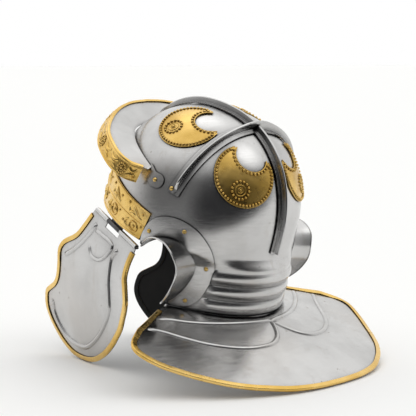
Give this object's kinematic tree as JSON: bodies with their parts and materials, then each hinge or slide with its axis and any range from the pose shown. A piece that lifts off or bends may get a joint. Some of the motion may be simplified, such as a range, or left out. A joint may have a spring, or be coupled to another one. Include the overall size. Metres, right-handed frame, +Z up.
{
  "type": "roman infantry helmet",
  "caption": "Roman infantry helmet: steel bowl with crossed bars, brow guard, ear guards, wide neck guard and hinged cheek pieces, with embossed brass trim.",
  "frame": {"origin": "on the floor under the middle of the helmet's overall box, with the helmet at rest on the rear rim of its neck guard and on the tips of both cheek pieces", "axes": "+Z up, -Y the way the wearer would face, +X the wearer's left; the helmet itself is pitched back 17.7 degrees in this rest pose"},
  "size_m": [0.3522, 0.3558, 0.2831],
  "materials": {
    "polished_steel": "polished sheet with fine brushing, light handling marks and faint stains; black inside",
    "brass": "light gold, embossed and satin, darker in the hollows",
    "old_brass": "older gold with brown tarnish between the raised pearls",
    "dark_steel": "darkened steel"
  },
  "bodies": {
    "helmet": {"bowl": "polished_steel", "neck_guard": "polished_steel", "neck_guard_trim": "brass", "brow_band": "brass", "brow_guard": "polished_steel", "brow_guard_trim": "brass", "long_bar": "polished_steel", "side_bar": "polished_steel", "long_bar_front_rivet": "brass", "long_bar_rear_rivet": "brass", "crescent_front_left": "old_brass", "crescent_rear_left": "old_brass", "ear_guard_left": "polished_steel", "hinge_leaf_left": "dark_steel", "hinge_pin_left": "dark_steel", "brow_guard_rivet_left": "brass", "side_bar_rivet_left": "brass", "ear_rivet_1_left": "brass", "ear_rivet_2_left": "brass", "ear_rivet_3_left": "brass", "ear_rivet_4_left": "brass", "crescent_front_right": "old_brass", "crescent_rear_right": "old_brass", "ear_guard_right": "polished_steel", "hinge_leaf_right": "dark_steel", "hinge_pin_right": "dark_steel", "brow_guard_rivet_right": "brass", "side_bar_rivet_right": "brass", "ear_rivet_1_right": "brass", "ear_rivet_2_right": "brass", "ear_rivet_3_right": "brass", "ear_rivet_4_right": "brass"},
    "cheek_left": {"cheek_piece_left": "polished_steel", "cheek_trim_left": "brass"},
    "cheek_right": {"cheek_piece_right": "polished_steel", "cheek_trim_right": "brass"}
  },
  "joints": [
    {"name": "left_cheek_hinge", "type": "hinge", "parent": "helmet", "child": "cheek_left", "pos_m": [0.1061, -0.00665, 0.13329], "axis": [-0.2244, -0.8935, 0.389], "range_deg": [0, 100]},
    {"name": "right_cheek_hinge", "type": "hinge", "parent": "helmet", "child": "cheek_right", "pos_m": [-0.1061, -0.00665, 0.13329], "axis": [-0.2244, 0.8935, -0.389], "range_deg": [0, 100]}
  ]
}
